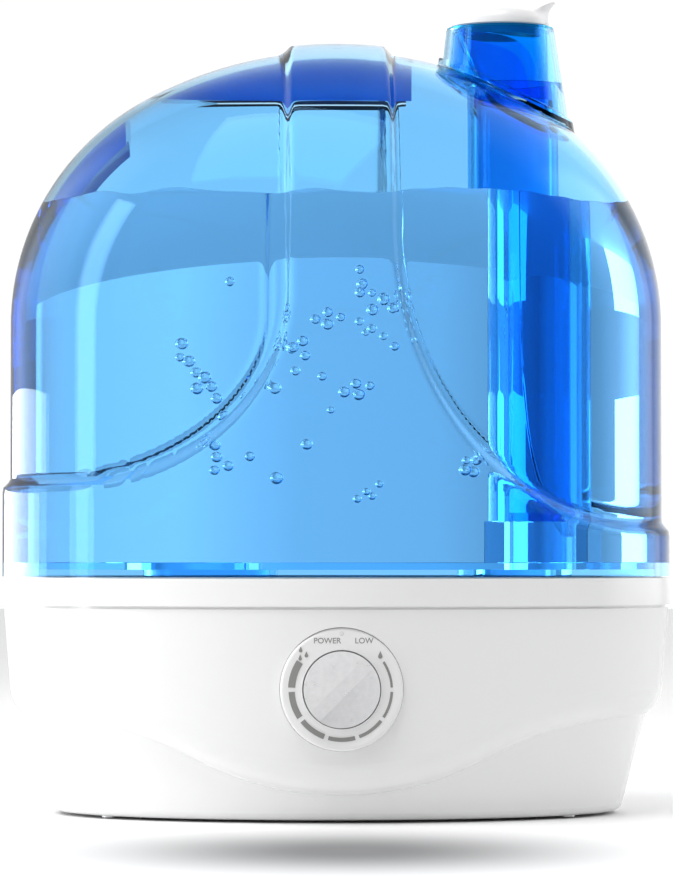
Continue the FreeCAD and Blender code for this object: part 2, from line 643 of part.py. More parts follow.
def nozzleFunnel():
    """Deeper blue funnel inside the collar: a flange in its mouth and a throat into the tube."""
    top = size("nozzleTop")
    wall = size("funnelWall")
    radius = size("funnelRadius")
    throatRadius = size("tubeBore") - size("fitGap")
    throatZ = size("tubeTop") - size("throatDip")
    throatX = size("tubeX")
    x = size("nozzleX")

    def horn(inset):
        mouth = Part.Circle(Vector(x, 0, top), Vector(0, 0, 1), radius - inset)
        waist = Part.Circle(Vector(throatX, 0, size("tubeTop") + 1), Vector(0, 0, 1), throatRadius - inset)
        return Part.makeLoft([Part.Wire([waist.toShape()]), Part.Wire([mouth.toShape()])], True, True)

    outer = horn(0).fuse([upright(throatRadius, throatX, 0, throatZ, size("tubeTop") + 1)])
    inner = horn(wall).fuse([upright(throatRadius - wall, throatX, 0, throatZ - 1, size("tubeTop") + 1)])
    flange = ring(size("nozzleRadius") - size("fitGap"), radius - wall, x, 0, top, top + size("funnelFlange"))
    return outer.cut([inner]).fuse([flange])


def mistCap():
    """White turning cap: low crowned disc, beak that turns the mist, mist slot and plug."""
    x = size("nozzleX")
    radius = size("capRadius")
    low = size("capBottom")
    top = size("capTop")
    crown = upright(radius, x, 0, low, top)
    rim = [edge for edge in crown.Edges if edge.BoundBox.ZMin > top - 0.1]
    crown = crown.makeFillet(size("capRound"), rim)
    # The beak is a slice of the cap's round wall that rises at its tip.
    root = x + size("mistSlotFar") - size("capRoof")
    reach = size("beakReach")
    peak = top + size("beakRise")
    edge = x + radius
    tip = [Vector(root, 0, low + 1), Vector(edge, 0, low + 1), Vector(edge + reach / 4, 0, top - 1),
           Vector(edge + reach, 0, peak), Vector(edge - reach, 0, top), Vector(root, 0, top - reach)]
    beak = Part.Face(Part.makePolygon(tip + tip[:1]))
    beak.translate(Vector(0, -size("beakHalf"), 0))
    beak = beak.extrude(Vector(0, 2 * size("beakHalf"), 0))
    beak = beak.common(upright(radius + reach, x, 0, low, peak + 1))
    plug = upright(size("capPlug"), x, 0, low - size("capPlugDepth"), low + 1)
    solid = crown.fuse([beak, plug])
    hollow = upright(size("capPlug") - size("capWall"), x, 0, low - FAR, top - size("capRoof"))
    across = size("mistSlotHalf")
    slot = block(x + size("mistSlotNear"), x + size("mistSlotFar"), -across, across, low, FAR * 2)
    return solid.cut([hollow, slot])


# Filling cap and valve

def fillCap():
    """Screw cap under the tank with finger ribs, gasket seat and the valve's guide."""
    x = size("neckX")
    low = size("fillCapFoot")
    radius = size("fillCapRadius")
    top = size("fillCapTop")
    rib = size("gripRib")
    cup = upright(radius - rib, x, 0, low, top)
    ribs = [upright(rib, x + along, across, low + 1, top - 1)
            for along, across in orbit(radius - rib, size("gripCount"))]
    cup = cup.fuse(ribs)
    floor = low + size("fillCapFloor")
    bore = upright(size("neckRadius") + size("threadProud") + size("fitGap"), x, 0, floor, FAR)
    stem = size("stemRadius")
    guide = upright(stem + size("guideWall"), x, 0, low - size("guideDrop"), floor + size("guideRise"))
    stemHole = upright(stem + size("stemFit"), x, 0, 0, FAR)
    drains = [upright(size("drainRadius"), x + along, across, 0, top)
              for along, across in orbit(size("drainOrbit"), size("drainCount"))]
    return cup.cut([bore]).fuse([guide]).cut([stemHole] + drains)


def fillCapSeal():
    base = "fillCapFoot + fillCapFloor"
    thick = "neckFoot - fillCapFoot - fillCapFloor"
    gasket = revolved("fill_cap_seal", [("neckBore - 1", "0"), ("neckRadius", "0"), ("neckRadius", thick),
                                        ("neckBore - 1", thick)], x="neckX", z=base)
    return keep(gasket, "fill_cap_seal")


def valveStem():
    shank = rod("stemShank", "neckX", "0", "stemFoot", "stemRadius", "stemTop - stemFoot")
    foot = rod("stemFootFlange", "neckX", "0", "stemFoot", "springRadius + springWire + fitGap", "stemFlange")
    return keep(fuse("valve_stem_body", shank, foot), "valve_stem")


def valveDisc():
    base = "fillCapFoot + fillCapFloor + guideRise"
    disc = revolved("valve_disc", [("stemRadius", "0"), ("valveDiscRadius", "0"),
                                   ("valveDiscRadius", "valveDiscThick * 0.6"),
                                   ("stemRadius + 1.5", "valveDiscThick"), ("stemRadius", "valveDiscThick")],
                    x="neckX", z=base)
    return keep(disc, "valve_disc")


def valveSpring():
    """Coil between the cap's guide and the stem's foot flange."""
    wire = size("springWire")
    seat = wire / 2 + size("stemFit") / 3
    low = size("stemFoot") + size("stemFlange") + seat
    high = size("fillCapFoot") - size("guideDrop") - seat
    pitch = (high - low) / size("springTurns")
    helix = Part.makeHelix(pitch, high - low, size("springRadius"))
    half = wire / 2
    inner = size("springRadius") - half
    outer = size("springRadius") + half
    section = Part.makePolygon([Vector(inner, 0, -half), Vector(outer, 0, -half), Vector(outer, 0, half),
                                Vector(inner, 0, half), Vector(inner, 0, -half)])
    coil = Part.Wire(helix.Edges).makePipeShell([section], True, True)
    coil.translate(Vector(size("neckX"), 0, low))
    return coil


# Float, mist maker and fan

def waterFloat():
    bore = "guideRadius + fitGap"
    piece = revolved("float", [(bore, "0"), ("floatRadius - 1", "0"), ("floatRadius", "1"),
                               ("floatRadius", "floatHeight - 1"), ("floatRadius - 1", "floatHeight"),
                               (bore, "floatHeight")], x="floatX", z="troughFloor")
    return keep(piece, "water_float")


def reedSwitch():
    tube = doc.addObject("Part::Cylinder", "reed_tube")
    bind(tube, Radius="reedRadius", Height="reedLength")
    tube.Placement = Placement(Vector(0, 0, 0), Rotation(Vector(0, 1, 0), 90))
    place(tube, "floatX - floatRadius", "0", "troughFloor - troughWall - reedRadius")
    return keep(tube, "reed_switch")


def mistDisc():
    base = "troughFloor - troughWall + sealLip"
    return keep(rod("mist_disc_body", "tubeX", "0", base, "discRadius", "discThick"), "mist_disc")


def discSeal():
    low = "troughFloor - troughWall"
    outer = rod("sealOuter", "tubeX", "0", low, "sealRadius", "sealHeight")
    bore = rod("sealBoreRod", "tubeX", "0", low + " - 1", "sealBore", "sealHeight + 2")
    seat = rod("sealSeat", "tubeX", "0", low + " + sealLip - shaftFit", "discRadius + shaftFit",
               "discThick + 2 * shaftFit")
    return keep(cut("disc_seal_body", outer, bore, seat), "disc_seal")


def discBracket():
    low = "troughFloor - troughWall - bracketThick"
    plate = box("bracketPlate", "tubeX - bracketLength / 2", "0 - bracketWidth / 2", low,
                "bracketLength", "bracketWidth", "bracketThick")
    holes = [rod("bracketBore", "tubeX", "0", low + " - 1", "sealBore - 1", "bracketThick + 2")]
    for number, side in enumerate(("tubeX - bracketScrewX", "tubeX + bracketScrewX")):
        holes.append(rod("bracketHole%d" % number, side, "0", low + " - 1", "screwRadius + coverGap",
                         "bracketThick + 2"))
    return keep(cut("disc_bracket_body", plate, *holes), "disc_bracket")


def bracketScrews():
    screws = []
    low = "troughFloor - troughWall - bracketThick"
    for number, side in enumerate(("tubeX - bracketScrewX", "tubeX + bracketScrewX")):
        head = rod("bracketHead%d" % number, side, "0", low + " - screwHead", "screwHeadRadius", "screwHead")
        shank = rod("bracketShank%d" % number, side, "0", low + " - screwProud", "screwRadius",
                    "bracketThick + troughWall")
        screws.append(fuse("bracketScrew%d" % number, head, shank))
    return keep(group("bracket_screws_group", *screws), "bracket_screws")


def fanFrame():
    """Square axial fan frame with three spokes that carry the motor hub and its pin."""
    low = size("footGap") + size("coverThick")
    high = low + size("fanHeight")
    x = size("fanX")
    half = size("fanSide") / 2
    body = block(x - half, x + half, -half, half, low, high)
    uprights = [edge for edge in body.Edges if abs(edge.BoundBox.ZLength - size("fanHeight")) < 0.01]
    body = body.makeFillet(size("fanRound"), uprights)
    body = body.cut([upright(size("fanBore"), x, 0, 0, FAR)])
    thick = size("spokeThick")
    across = size("spokeHalf")
    hub = [upright(size("hubRadius") - thick, x, 0, low, low + thick),
           upright(size("fanPin"), x, 0, low, high - size("pinDrop"))]
    count = int(size("spokeCount"))
    for number in range(count):
        spoke = block(x, x + size("fanBore") + thick / 2, -across, across, low, low + thick)
        spoke.rotate(Vector(x, 0, 0), Vector(0, 0, 1), 360 * number / count + 30)
        hub.append(spoke)
    return body.fuse(hub)


def fanRotor():
    foot = size("footGap") + size("coverThick")
    low = foot + size("rotorFoot")
    high = foot + size("fanHeight") - size("rotorDrop")
    tall = size("bladeHalf")
    thick = size("bladeThick") / 2
    x = size("fanX")
    hub = upright(size("hubRadius"), x, 0, low, high)
    blades = []
    count = int(size("bladeCount"))
    for number in range(count):
        blade = block(size("hubRadius") - 1, size("rotorRadius"), -thick, thick, -tall, tall)
        blade.rotate(Vector(0, 0, 0), Vector(1, 0, 0), size("bladePitch"))
        blade.rotate(Vector(0, 0, 0), Vector(0, 0, 1), 360.0 * number / count)
        blade.translate(Vector(x, 0, (low + high) / 2))
        blades.append(blade)
    trim = upright(size("rotorRadius"), x, 0, low, high)
    solid = hub.fuse(blades).common(trim)
    return solid.cut([upright(size("fanPin") + size("pinFit"), x, 0, 0, high - size("rotorDrop"))])


def airDuct():
    """Tapered duct from the fan up to the stack in the basin."""
    foot = "footGap + coverThick + fanHeight"
    height = "troughFloor - troughWall - footGap - coverThick - fanHeight"
    profile = [("fanBore", "0"), ("fanBore + 1", "0"), ("fanBore + 1", "3"),
               ("stackRadius", height), ("stackRadius - ductWall", height), ("fanBore - ductWall + 1", "3"),
               ("fanBore", "2")]
    return keep(revolved("air_duct", profile, x="fanX", z=foot), "air_duct")


# Boards

def powerBoard():
    plate = box("power_plate", "powerBoardX", "0 - powerBoardWidth / 2", "powerBoardFoot",
                "powerBoardLength", "powerBoardWidth", "boardThick")
    return keep(plate, "power_board")


def powerParts():
    top = "powerBoardFoot + boardThick"
    coil = box("coilBlock", "powerBoardX + 6", "0 - 14", top, "26", "28", "22")
    keep(coil, "power_transformer")
    can = rod("canRod", "powerBoardX + 45", "0 - 16", top, "6", "20")
    keep(can, "filter_capacitor")
    block1 = box("terminalBlock", "powerBoardX + 34", "12", top, "16", "10", "11")
    wells = [rod("terminalWell%d" % n, "powerBoardX + %d" % (38 + 8 * n), "17", top + " + 6", "2", "8")
             for n in range(2)]
    keep(cut("terminal_body", block1, *wells), "terminal_block")


def driverBoard():
    plate = box("driver_plate", "driverX", "0 - driverWidth / 2", "driverFoot",
                "driverLength", "driverWidth", "boardThick")
    return keep(plate, "driver_board")


def heatSink():
    """Finned aluminium sink on the driver board."""
    top = "driverFoot + boardThick"
    left = "driverX + standoffInset + standoffRadius"
    base = box("sinkBase1", left, "0 - sinkWidth / 2", top, "sinkLength", "sinkWidth", "sinkBase")
    fins = [box("sinkFin%d" % n, left, "finPitch * %d - sinkWidth / 2" % n, top + " + sinkBase",
                "sinkLength", "finThick", "finHeight") for n in range(6)]
    return keep(fuse("heat_sink_body", base, *fins), "heat_sink")


def controlBoard():
    plate = box("controlPlate", "0 - controlBoardLength / 2", "controlBoardFront",
                "dialHeight - controlBoardWidth / 2", "controlBoardLength", "boardThick", "controlBoardWidth")
    holes = [frontRod("controlHole%d" % n, side, "controlBoardFront - 1", "dialHeight",
                      "boardScrewRadius + coverGap", "boardThick + 2")
             for n, side in enumerate(("controlHoleX", "0 - controlHoleX"))]
    return keep(cut("control_board_body", plate, *holes), "control_board")


def controlScrews():
    screws = []
    for number, side in enumerate(("controlHoleX", "0 - controlHoleX")):
        head = frontRod("controlHead%d" % number, side, "controlBoardFront + boardThick", "dialHeight",
                        "2 * boardScrewRadius", "1.4")
        shank = frontRod("controlShank%d" % number, side, "controlBoardFront - boardScrewDepth", "dialHeight",
                         "boardScrewRadius", "boardScrewDepth + boardThick + 0.4")
        screws.append(fuse("controlScrew%d" % number, head, shank))
    return keep(group("board_screws_group", *screws), "board_screws")


# Dial

def dialRing():
    """Raised ring round the knob, seated in the front of the base."""
    dial = size("dialHeight")
    back = size("ringBack")
    depth = back - size("ringFront")
    disc = inward(size("ringRadius"), 0, size("ringFront"), dial, depth)
    rim = [edge for edge in disc.Edges if edge.BoundBox.YMax < size("ringFront") + 0.1]
    disc = disc.makeFillet(size("ringRound"), rim)
    gap = size("knobGap")
    well = inward(size("knobRadius") + gap, 0, -FAR, dial, FAR + size("knobBack") + gap)
    shaft = inward(size("shaftRadius") + gap, 0, -FAR, dial, FAR)
    lamp = inward(size("lampRadius") + size("shaftFit"), 0, -FAR, dial + size("lampOrbit"), FAR)
    return disc.cut([well, shaft, lamp])


def arcMark(start, end, outer, inner):
    """Thin curved mark on the ring's face between two angles."""
    dial = size("dialHeight")
    front = size("ringFront")

    def at(radius, angle):
        turn = math.radians(angle)
        return Vector(radius * math.cos(turn), front, dial + radius * math.sin(turn))

    middle = (start + end) / 2
    edges = [Part.Arc(at(outer, start), at(outer, middle), at(outer, end)),
             Part.LineSegment(at(outer, end), at(inner, end)),
             Part.Arc(at(inner, end), at(inner, middle), at(inner, start)),
             Part.LineSegment(at(inner, start), at(outer, start))]
    face = Part.Face(Part.Wire([edge.toShape() for edge in edges]))
    return face.extrude(Vector(0, -size("markThick"), 0))


def dropMark(angle, orbit, radius):
    """Thin water-drop mark: a round foot with a pointed top."""
    turn = math.radians(angle)
    x = orbit * math.cos(turn)
    z = size("dialHeight") + orbit * math.sin(turn)
    front = size("ringFront")
    left = Vector(x - radius * math.cos(0.5), front, z + radius * math.sin(0.5))
    right = Vector(x + radius * math.cos(0.5), front, z + radius * math.sin(0.5))
    edges = [Part.Arc(left, Vector(x, front, z - radius), right),
             Part.LineSegment(right, Vector(x, front, z + 2.5 * radius)),
             Part.LineSegment(Vector(x, front, z + 2.5 * radius), left)]
    face = Part.Face(Part.Wire([edge.toShape() for edge in edges]))
    return face.extrude(Vector(0, -size("markThick"), 0))


def dialMarks():
    """Level marks: seven curved bars that grow thicker, one drop for low and three for high."""
    ringRadius = size("ringRadius")
    middle = (ringRadius + size("knobRadius")) / 2
    first = 33.4
    length = 31.0
    widths = [0.8, 0.9, 1.1, 1.4, 1.8, 2.1, 2.4]
    pitch = (180.0 + 2 * first - length) / (len(widths) - 1)
    marks = []
    for number, width in enumerate(widths):
        end = first - number * pitch
        marks.append(arcMark(end - length, end, middle + width / 2, middle - width / 2))
    drop = 0.75
    marks.append(dropMark(180.0 - first - 106.0, middle + drop / 3, drop))
    drop = 0.6
    for turn, shift in ((-4.4, 0.55), (2.8, -0.4), (2.5, 2.2)):
        marks.append(dropMark(139.0 - turn, middle + shift, drop))
    return Part.makeCompound(marks)


def controlKnob():
    """Round knob with a straight crest across it and two sloping faces."""
    dial = size("dialHeight")
    back = size("knobBack")
    crest = size("knobCrest")
    shoulder = size("knobShoulder")
    radius = size("knobRadius")
    half = size("crestWidth") / 2
    disc = inward(radius, 0, crest, dial, back - crest)
    corners = [Vector(-radius - 1, back, 0), Vector(-radius - 1, shoulder, 0), Vector(-half, crest, 0),
               Vector(half, crest, 0), Vector(radius + 1, shoulder, 0), Vector(radius + 1, back, 0)]
    face = Part.Face(Part.makePolygon(corners + corners[:1]))
    ridge = face.extrude(Vector(0, 0, 4 * radius))
    ridge.translate(Vector(0, 0, -2 * radius))
    ridge.rotate(Vector(0, 0, 0), Vector(0, -1, 0), size("knobAngle") - 90)
    ridge.translate(Vector(0, 0, dial))
    bore = inward(size("shaftRadius") + size("shaftFit") / 2, 0, shoulder, dial, FAR)
    return disc.common(ridge).cut([bore])


def knobShaft():
    shaft = frontRod("knob_shaft_rod", "0", "knobShoulder", "dialHeight", "shaftRadius",
                     "controlBoardFront - knobShoulder - 2")
    return keep(shaft, "knob_shaft")


def levelControl():
    """Rotary control: a can on the board with a bush that guides the shaft."""
    can = frontRod("controlCanRod", "0", "controlBoardFront - controlCanDepth", "dialHeight", "controlCan",
                   "controlCanDepth")
    bush = frontRod("controlBushRod", "0", "controlBoardFront - controlCanDepth - controlBush", "dialHeight",
                    "bushRadius", "controlBush + 1")
    bore = frontRod("controlBore", "0", "knobShoulder", "dialHeight", "shaftRadius + shaftFit",
                    "controlBoardFront - knobShoulder - 1.8")
    return keep(cut("level_control_body", fuse("controlCanBush", can, bush), bore), "level_control")


def lampRod():
    """Light guide for the power lamp, from the board's lamp to the ring's face."""
    guide = frontRod("lampGuide", "0", "ringFront - markThick / 2", "dialHeight + lampOrbit", "lampRadius",
                     "controlBoardFront - ringFront + markThick / 2 - controlBush - 1")
    return keep(guide, "light_guide")


def lampBody():
    lamp = frontRod("lampCan", "0", "controlBoardFront - controlBush - 1", "dialHeight + lampOrbit", "1.5",
                    "controlBush + 1")
    return keep(lamp, "power_lamp")


# Cord inlet

def inletBush():
    start = size("inletFace")
    shell = inward(size("inletRadius"), 0, start, size("inletHeight"), size("inletLength"))
    flange = size("inletFlange")
    inner = inward(size("inletRadius") + flange, 0, start - flange, size("inletHeight"), flange)
    bore = inward(size("inletBore"), 0, 0, size("inletHeight"), FAR)
    return shell.fuse([inner]).cut([bore])


keepShape("base_housing", baseHousing())
keepShape("bottom_cover", bottomCover())
rubberFeet()
coverScrews()
keepShape("water_basin", waterBasin())
keepShape("tank_shell", tankShell())
keepShape("tank_floor", tankFloor())
keepShape("carry_handle", carryHandle())
mistTube()
keepShape("nozzle_collar", nozzleCollar())
keepShape("nozzle_funnel", nozzleFunnel())
keepShape("mist_cap", mistCap())
keepShape("fill_cap", fillCap())
fillCapSeal()
valveStem()
valveDisc()
keepShape("valve_spring", valveSpring())
waterFloat()
reedSwitch()
mistDisc()
discSeal()
discBracket()
bracketScrews()
keepShape("fan_frame", fanFrame())
keepShape("fan_rotor", fanRotor())
airDuct()
powerBoard()
powerParts()
driverBoard()
heatSink()
controlBoard()
controlScrews()
keepShape("dial_ring", dialRing())
keepShape("dial_marks", dialMarks())
keepShape("control_knob", controlKnob())
knobShaft()
levelControl()
lampRod()
lampBody()
keepShape("cord_inlet", inletBush())

doc.recompute()

for thing in doc.Objects:
    if "Invalid" in thing.State or "Error" in thing.State:
        raise RuntimeError("%s failed: %s" % (thing.Name, thing.State))
for piece in pieces:
    if piece.Shape.isNull() or not piece.Shape.isValid() or piece.Shape.Volume <= 0:
        raise RuntimeError("%s has no sound shape" % piece.Label)

os.makedirs("parts", exist_ok=True)
for piece in pieces:
    piece.Shape.exportStep("parts/" + piece.Label + ".step")
print("wrote", len(pieces), "pieces")
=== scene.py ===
import json
import math
import random

import bmesh
import bpy
from mathutils import Matrix, Vector


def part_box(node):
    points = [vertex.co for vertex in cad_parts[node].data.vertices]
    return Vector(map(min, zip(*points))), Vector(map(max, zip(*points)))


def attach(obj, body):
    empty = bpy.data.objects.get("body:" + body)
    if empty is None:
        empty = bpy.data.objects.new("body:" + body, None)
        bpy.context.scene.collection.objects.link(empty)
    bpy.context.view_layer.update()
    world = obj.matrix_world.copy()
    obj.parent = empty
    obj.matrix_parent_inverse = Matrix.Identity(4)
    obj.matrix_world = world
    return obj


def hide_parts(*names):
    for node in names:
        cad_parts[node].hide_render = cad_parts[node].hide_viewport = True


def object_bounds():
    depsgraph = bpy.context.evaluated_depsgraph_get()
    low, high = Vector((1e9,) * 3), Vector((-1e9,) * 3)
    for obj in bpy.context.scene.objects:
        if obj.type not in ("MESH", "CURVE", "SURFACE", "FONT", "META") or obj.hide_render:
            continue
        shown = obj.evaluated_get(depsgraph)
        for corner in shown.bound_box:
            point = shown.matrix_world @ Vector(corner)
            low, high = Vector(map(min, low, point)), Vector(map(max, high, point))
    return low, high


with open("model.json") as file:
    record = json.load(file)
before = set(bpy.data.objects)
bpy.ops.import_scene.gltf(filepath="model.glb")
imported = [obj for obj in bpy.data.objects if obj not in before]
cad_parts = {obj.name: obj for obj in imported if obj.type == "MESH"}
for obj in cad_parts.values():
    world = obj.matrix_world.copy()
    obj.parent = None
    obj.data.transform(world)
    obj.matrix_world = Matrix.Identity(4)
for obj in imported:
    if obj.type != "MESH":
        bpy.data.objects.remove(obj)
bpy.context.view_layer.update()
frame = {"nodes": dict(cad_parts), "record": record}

nodes = frame["nodes"]
mm = 0.001
print("frame loaded")


# a socket that takes part in Python sums, each of which adds its Math node

class Wire:
    def __init__(self, finish, socket):
        self.finish = finish
        self.socket = socket

    def sum(self, operation, first, second):
        return self.finish.node("ShaderNodeMath", {"operation": operation}, [first, second])

    def __add__(self, other):
        return self.sum("ADD", self, other)

    def __radd__(self, other):
        return self.sum("ADD", other, self)

    def __sub__(self, other):
        return self.sum("SUBTRACT", self, other)

    def __rsub__(self, other):
        return self.sum("SUBTRACT", other, self)

    def __mul__(self, other):
        return self.sum("MULTIPLY", self, other)

    def __rmul__(self, other):
        return self.sum("MULTIPLY", other, self)


# one material, or the surround, and the nodes in it
class Finish:
    def __init__(self, tree, shader):
        self.tree = tree
        self.shader = tree.nodes[shader]

    def node(self, kind, settings=None, inputs=(), output=0):
        made = self.tree.nodes.new(kind)
        for key, value in (settings or {}).items():
            if key == "stops":
                while len(made.color_ramp.elements) < len(value):
                    made.color_ramp.elements.new(0.5)
                for element, (place, colour) in zip(made.color_ramp.elements, value):
                    element.position = place
                    element.color = colour
            else:
                setattr(made, key, value)
        pairs = inputs.items() if isinstance(inputs, dict) else enumerate(inputs)
        for key, value in pairs:
            self.feed(made.inputs[key], value)
        return Wire(self, made.outputs[output])

    def feed(self, socket, value):
        if isinstance(value, Wire):
            self.tree.links.new(value.socket, socket)
        elif socket.type == "RGBA" and len(value) == 3:
            socket.default_value = (*value, 1.0)
        else:
            socket.default_value = value

    def set(self, **inputs):
        for key, value in inputs.items():
            self.feed(self.shader.inputs[key.replace("_", " ")], value)

    def noise(self, scale, detail=3.0):
        place = self.node("ShaderNodeTexCoord", output="Object")
        return self.node("ShaderNodeTexNoise", {}, {"Vector": place, "Scale": scale, "Detail": detail})

    def ease(self, value, low, high, start=0.0, end=1.0):
        settings = {"interpolation_type": "SMOOTHSTEP"}
        inputs = {"Value": value, "From Min": low, "From Max": high, "To Min": start, "To Max": end}
        return self.node("ShaderNodeMapRange", settings, inputs)

    def mix(self, mask, low, high):
        return self.node("ShaderNodeMix", {"data_type": "RGBA"}, {0: mask, 6: low, 7: high}, output=2)

    def bump(self, height, strength, distance):
        self.set(Normal=self.node("ShaderNodeBump", {}, {"Height": height, "Strength": strength,
                                                        "Distance": distance}))


def newFinish(name):
    material = bpy.data.materials.new(name)
    material.use_nodes = True
    finish = Finish(material.node_tree, "Principled BSDF")
    finish.material = material
    return finish


def paint(thing, finish):
    thing.data.materials.clear()
    thing.data.materials.append(finish.material)


# materials

# tinted see-through plastic with a faint moulded ripple
def clearPlastic(name, colour, ior, sheen=(1.0, 1.0, 1.0), through=1.0, ripple=0.05):
    finish = newFinish(name)
    finish.set(Base_Color=colour, Transmission_Weight=through, IOR=ior, Specular_Tint=sheen)
    finish.set(Roughness=finish.noise(40, 4) * 0.012)
    finish.bump(finish.noise(22, 1), ripple, 0.002)
    return finish


# glossy moulded white with a hair of unevenness
def whitePlastic(name, colour, roughness):
    finish = newFinish(name)
    soft = finish.noise(14, 3)
    finish.set(Base_Color=finish.mix(soft, [c * 0.985 for c in colour], colour), IOR=1.5)
    finish.set(Roughness=finish.noise(60, 5) * 0.08 + (roughness - 0.04))
    finish.set(Coat_Weight=0.25, Coat_Roughness=0.06)
    finish.bump(finish.noise(900, 2), 0.03, 0.0002)
    return finish


def plainFinish(name, colour, roughness, metallic=0.0, scale=200, bump=0.1):
    finish = newFinish(name)
    speck = finish.noise(scale, 5)
    darker = [c * 0.88 for c in colour]
    lighter = [min(1, c * 1.08) for c in colour]
    finish.set(Base_Color=finish.mix(speck, darker, lighter), Metallic=metallic)
    finish.set(Roughness=speck * 0.14 + (roughness - 0.07))
    finish.bump(speck, bump, 0.0002)
    return finish


# faintly tinted water whose face is a little uneven
def waterFinish():
    finish = newFinish("waterClear")
    finish.set(Base_Color=(0.74, 0.80, 0.88), Transmission_Weight=1.0, IOR=1.33, Roughness=0.0)
    finish.bump(finish.noise(18, 1), 0.04, 0.002)
    return finish


lightBlue = clearPlastic("lightBlueClear", (0.42, 0.74, 1.0), 1.33, (0.05, 0.5, 1.0))
tubeBlue = clearPlastic("tubeBlueClear", (0.13, 0.53, 0.92), 1.36, (0.2, 0.6, 1.0))
funnelBlue = clearPlastic("funnelBlueClear", (0.03, 0.60, 0.97), 1.36, (0.1, 0.6, 1.0))
deepBlue = clearPlastic("deepBlueClear", (0.0, 0.25, 1.0), 1.36, (0.0, 0.3, 1.0), 0.25)
water = waterFinish()
bubbleClear = clearPlastic("bubbleClear", (1.0, 1.0, 1.0), 1.33, ripple=0.0)
whiteShell = whitePlastic("whiteShell", (0.86, 0.86, 0.862), 0.2)
capWhite = whitePlastic("capWhite", (0.8, 0.8, 0.81), 0.32)
knobSilver = plainFinish("knobSilver", (0.80, 0.80, 0.81), 0.3, metallic=0.85, scale=500, bump=0.05)
greyPrint = plainFinish("greyPrint", (0.27, 0.27, 0.26), 0.5)
blackPlastic = plainFinish("blackPlastic", (0.03, 0.03, 0.033), 0.45)
rubber = plainFinish("rubber", (0.07, 0.07, 0.075), 0.7, scale=700, bump=0.3)
steel = plainFinish("steel", (0.6, 0.6, 0.61), 0.3, metallic=1.0)
aluminium = plainFinish("aluminium", (0.75, 0.76, 0.77), 0.38, metallic=1.0)
discMetal = plainFinish("discMetal", (0.72, 0.69, 0.6), 0.3, metallic=0.9)
boardGreen = plainFinish("boardGreen", (0.02, 0.17, 0.07), 0.35, scale=320)
greyPlastic = plainFinish("greyPlastic", (0.5, 0.51, 0.52), 0.45)
foam = plainFinish("foam", (0.8, 0.8, 0.76), 0.85, scale=900, bump=0.5)
lampClear = plainFinish("lampClear", (0.8, 0.8, 0.78), 0.2)

finishes = {
    "white_shell": whiteShell, "light_blue_clear": lightBlue, "deep_blue_clear": deepBlue,
    "white_cap": capWhite, "knob_silver": knobSilver, "grey_print": greyPrint, "lamp_clear": lampClear,
    "rubber": rubber, "steel": steel, "aluminium": aluminium, "ceramic_disc": discMetal,
    "black_plastic": blackPlastic, "board_green": boardGreen, "grey_plastic": greyPlastic,
    "float_foam": foam,
}
for part in frame["record"]["subparts"]:
    paint(nodes[part["node"]], finishes[part["material_slot"]])
paint(nodes["mist_tube"], tubeBlue)
print("materials ready")


# mesh helpers

def newPiece(name, verts, faces, smoothAngle=30):
    mesh = bpy.data.meshes.new(name)
    mesh.from_pydata([tuple(v) for v in verts], [], faces)
    thing = bpy.data.objects.new(name, mesh)
    bpy.context.scene.collection.objects.link(thing)
    tidyMesh(thing, smoothAngle)
    return thing


# weld doubles, face everything outwards and mark the sharp edges
def tidyMesh(thing, smoothAngle=30):
    work = bmesh.new()
    work.from_mesh(thing.data)
    bmesh.ops.remove_doubles(work, verts=work.verts, dist=1e-6)
    bmesh.ops.recalc_face_normals(work, faces=work.faces)
    work.to_mesh(thing.data)
    work.free()
    thing.data.shade_smooth()
    thing.data.set_sharp_from_angle(angle=math.radians(smoothAngle))


# solid from rings of points, each with as many points, closed by a flat or pointed end at both ends
def ringSolid(name, rings, smoothAngle=30):
    count = len(rings[0])
    verts = [point for ring in rings for point in ring]
    faces = []
    for row in range(len(rings) - 1):
        for column in range(count):
            following = (column + 1) % count
            faces.append((row * count + column, row * count + following,
                          (row + 1) * count + following, (row + 1) * count + column))
    last = (len(rings) - 1) * count
    faces.append(tuple(range(count)))
    faces.append(tuple(range(last, last + count)))
    return newPiece(name, verts, faces, smoothAngle)


# turned solid from (radius, height) points round an upright axis, in millimetres
def lathe(name, profile, centre, segments=96, smoothAngle=30):
    turns = [2 * math.pi * step / segments for step in range(segments)]
    x, y = centre
    rings = [[Vector((x + radius * math.cos(turn), y + radius * math.sin(turn), height)) * mm
              for turn in turns] for radius, height in profile]
    return ringSolid(name, rings, smoothAngle)


def blockPiece(name, low, high):
    x0, y0, z0 = low
    x1, y1, z1 = high
    rings = [[Vector(point) * mm for point in ((x0, y0, z), (x1, y0, z), (x1, y1, z), (x0, y1, z))]
             for z in (z0, z1)]
    return ringSolid(name, rings)


# cut, join or intersect a piece with tools that are used up
def carve(thing, operation, *tools):
    for tool in tools:
        change = thing.modifiers.new("carve", "BOOLEAN")
        change.operation = operation
        change.solver = "MANIFOLD"
        change.object = tool
        bpy.context.view_layer.update()
        graph = bpy.context.evaluated_depsgraph_get()
        mesh = bpy.data.meshes.new_from_object(thing.evaluated_get(graph))
        thing.modifiers.clear()
        thing.data = mesh
        bpy.data.objects.remove(tool)
    if not thing.data.polygons:
        raise RuntimeError(thing.name + " came out empty")
    return thing


def copyOf(thing, name):
    twin = thing.copy()
    twin.data = thing.data.copy()
    twin.name = name
    bpy.context.scene.collection.objects.link(twin)
    return twin


# tank

